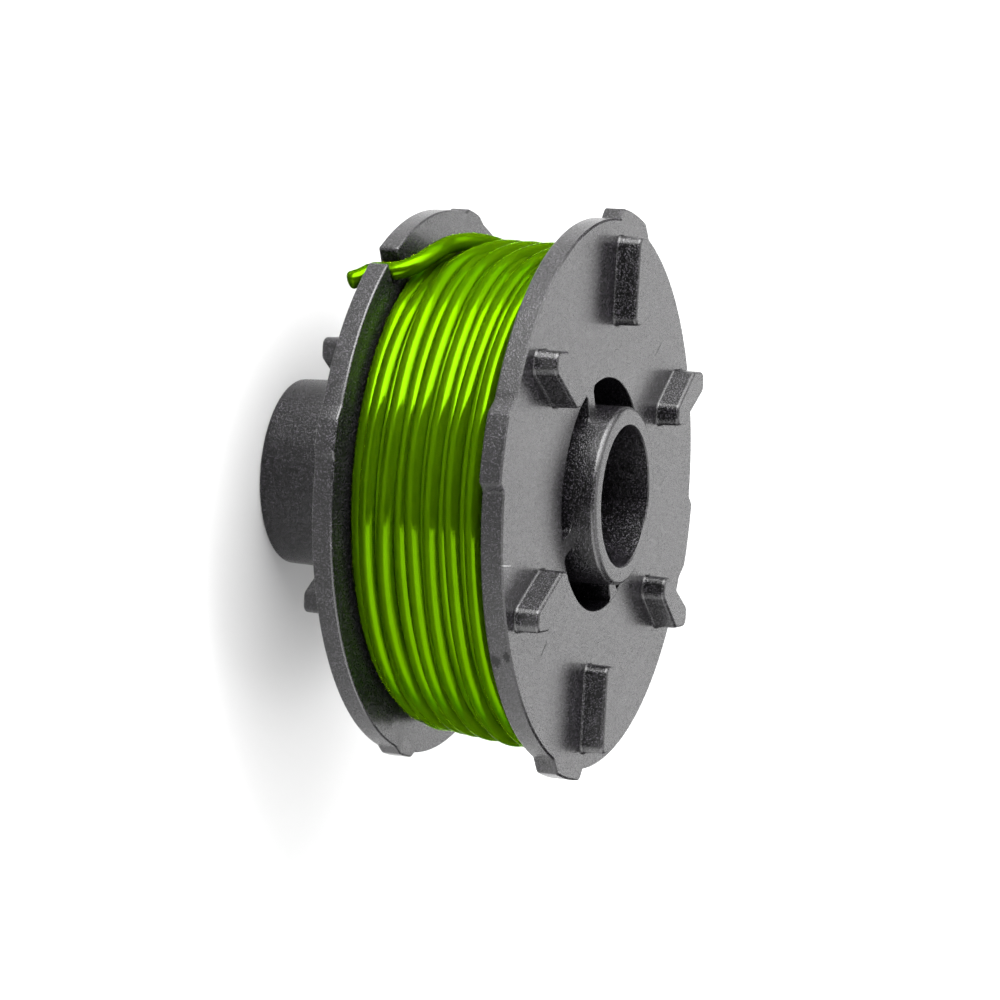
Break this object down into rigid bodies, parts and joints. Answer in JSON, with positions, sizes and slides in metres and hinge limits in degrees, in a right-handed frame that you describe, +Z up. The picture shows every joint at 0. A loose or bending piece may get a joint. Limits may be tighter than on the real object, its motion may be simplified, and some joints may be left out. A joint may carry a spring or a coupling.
{
  "type": "trimmer line spool",
  "caption": "Flanged moulded spool with a long hollow boss, lugs on both faces and rim tabs, wound with round cutting line whose end leaves through a notch.",
  "frame": {"origin": "on the spool's axis, at the flat end of the long boss that it stands on", "axes": "+Z up along the bore, from the boss's end towards the lugged front face with the raised ring; +X through the outer end of one straight lug"},
  "size_m": [0.0516, 0.0516, 0.0325],
  "materials": {
    "spool_nylon": "fine-grained matt moulding, glass filled",
    "line_nylon": "smooth drawn nylon line, translucent lime green"
  },
  "bodies": {
    "root": {"spool": "spool_nylon", "line": "line_nylon"}
  },
  "joints": []
}
